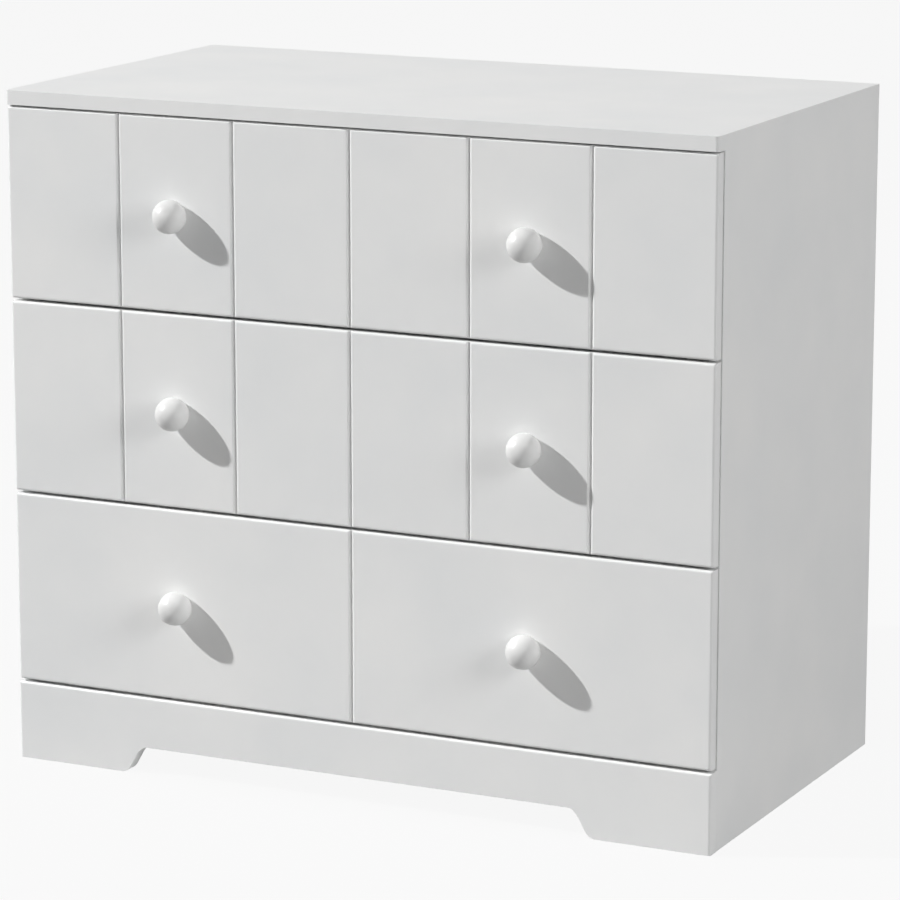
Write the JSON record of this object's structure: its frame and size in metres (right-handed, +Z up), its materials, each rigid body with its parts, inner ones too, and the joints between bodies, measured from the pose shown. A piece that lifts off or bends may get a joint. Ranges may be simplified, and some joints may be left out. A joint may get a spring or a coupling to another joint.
{
  "type": "chest of drawers",
  "caption": "White lacquered chest with a slim top board, stacked full-overlay grooved drawer fronts, turned round knobs and a plinth with bracket feet.",
  "frame": {"origin": "on the floor, at the centre of the bounding box, knobs included", "axes": "+X to the viewer's right along the width, -Y out of the drawer fronts, +Y towards the wall, +Z up"},
  "size_m": [1, 0.588, 0.9],
  "materials": {
    "white_lacquer": "white satin lacquer on fibreboard",
    "white_melamine": "white melamine-faced board, matt",
    "hardboard": "thin hardboard with a white printed face",
    "knob_lacquer": "turned beech under white gloss lacquer",
    "zinc_steel": "bright zinc-plated steel",
    "runner_steel": "cold-rolled zinc-plated steel strip",
    "buffer_plastic": "soft milky plastic"
  },
  "bodies": {
    "carcass": {"top_panel": "white_lacquer", "side_left": "white_lacquer", "side_right": "white_lacquer", "back_panel": "hardboard", "base_panel": "white_melamine", "plinth_front": "white_lacquer", "plinth_rear": "white_melamine", "rail_top_front": "white_melamine", "rail_top_rear": "white_melamine", "case_runner_1_left": "runner_steel", "case_runner_1_right": "runner_steel", "case_runner_2_left": "runner_steel", "case_runner_2_right": "runner_steel", "case_runner_3_left": "runner_steel", "case_runner_3_right": "runner_steel"},
    "drawer_1": {"d1_front": "white_lacquer", "d1_side_left": "white_melamine", "d1_side_right": "white_melamine", "d1_back": "white_melamine", "d1_bottom": "hardboard", "d1_knob_left": "knob_lacquer", "d1_knob_right": "knob_lacquer", "d1_screw_left": "zinc_steel", "d1_screw_right": "zinc_steel", "d1_runner_left": "runner_steel", "d1_runner_right": "runner_steel", "d1_bumper_left": "buffer_plastic", "d1_bumper_right": "buffer_plastic"},
    "drawer_2": {"d2_front": "white_lacquer", "d2_side_left": "white_melamine", "d2_side_right": "white_melamine", "d2_back": "white_melamine", "d2_bottom": "hardboard", "d2_knob_left": "knob_lacquer", "d2_knob_right": "knob_lacquer", "d2_screw_left": "zinc_steel", "d2_screw_right": "zinc_steel", "d2_runner_left": "runner_steel", "d2_runner_right": "runner_steel", "d2_bumper_left": "buffer_plastic", "d2_bumper_right": "buffer_plastic"},
    "drawer_3": {"d3_front": "white_lacquer", "d3_side_left": "white_melamine", "d3_side_right": "white_melamine", "d3_back": "white_melamine", "d3_bottom": "hardboard", "d3_knob_left": "knob_lacquer", "d3_knob_right": "knob_lacquer", "d3_screw_left": "zinc_steel", "d3_screw_right": "zinc_steel", "d3_runner_left": "runner_steel", "d3_runner_right": "runner_steel", "d3_bumper_left": "buffer_plastic", "d3_bumper_right": "buffer_plastic"}
  },
  "joints": [
    {"name": "drawer_1_slide", "type": "slide", "parent": "carcass", "child": "drawer_1", "axis": [0, -1, 0], "range_m": [0, 0.34]},
    {"name": "drawer_2_slide", "type": "slide", "parent": "carcass", "child": "drawer_2", "axis": [0, -1, 0], "range_m": [0, 0.34]},
    {"name": "drawer_3_slide", "type": "slide", "parent": "carcass", "child": "drawer_3", "axis": [0, -1, 0], "range_m": [0, 0.34]}
  ]
}
